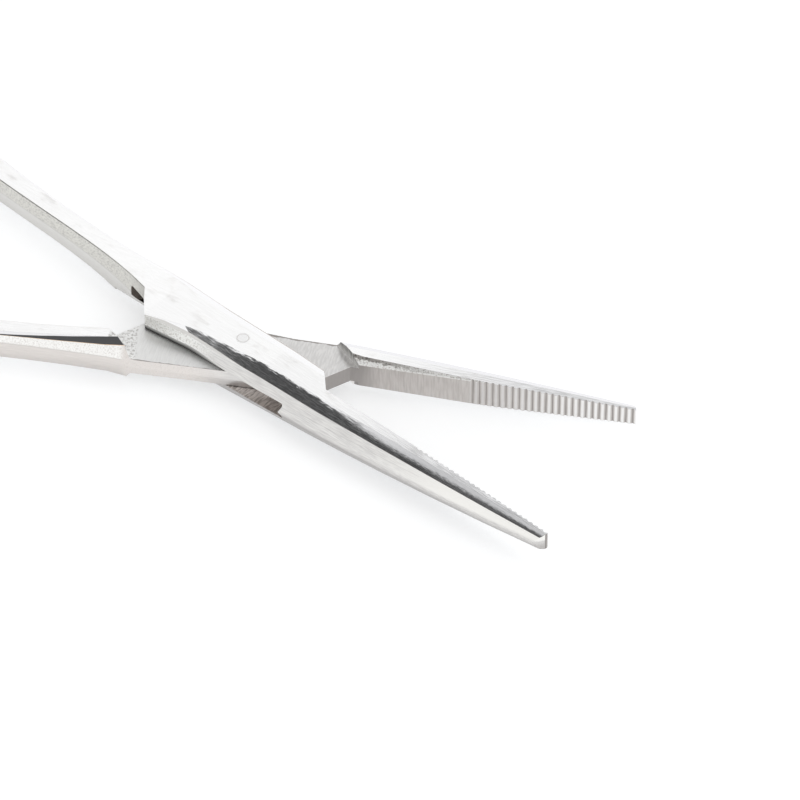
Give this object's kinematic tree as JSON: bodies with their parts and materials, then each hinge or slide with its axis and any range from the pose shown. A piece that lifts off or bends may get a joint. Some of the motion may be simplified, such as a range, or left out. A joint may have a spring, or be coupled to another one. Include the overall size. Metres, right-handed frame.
{
  "type": "hemostat forceps",
  "caption": "Straight haemostatic forceps with a riveted box lock, half-serrated jaws, finger rings and ratchet arms, lying open.",
  "frame": {"origin": "on the rivet's axis, in the plane that the box lock's underside rests on", "axes": "+X along the line halfway between the open jaws, towards the tips; +Z along the rivet, up; the box half's jaw lies towards -Y and its ring towards +Y"},
  "size_m": [0.1321, 0.0974, 0.0059],
  "materials": {
    "forged_steel": "ground and polished faces, satin sides",
    "rivet_steel": "ground flush with the plates"
  },
  "bodies": {
    "box_arm": {"box_half": "forged_steel", "pivot_pin": "rivet_steel"},
    "tongue_arm": {"tongue_half": "forged_steel"}
  },
  "joints": [
    {"name": "box_lock_hinge", "type": "hinge", "parent": "box_arm", "child": "tongue_arm", "pos_m": [0, 0, 0.00295], "axis": [0, 0, 1], "range_deg": [-28.3, 26]}
  ]
}
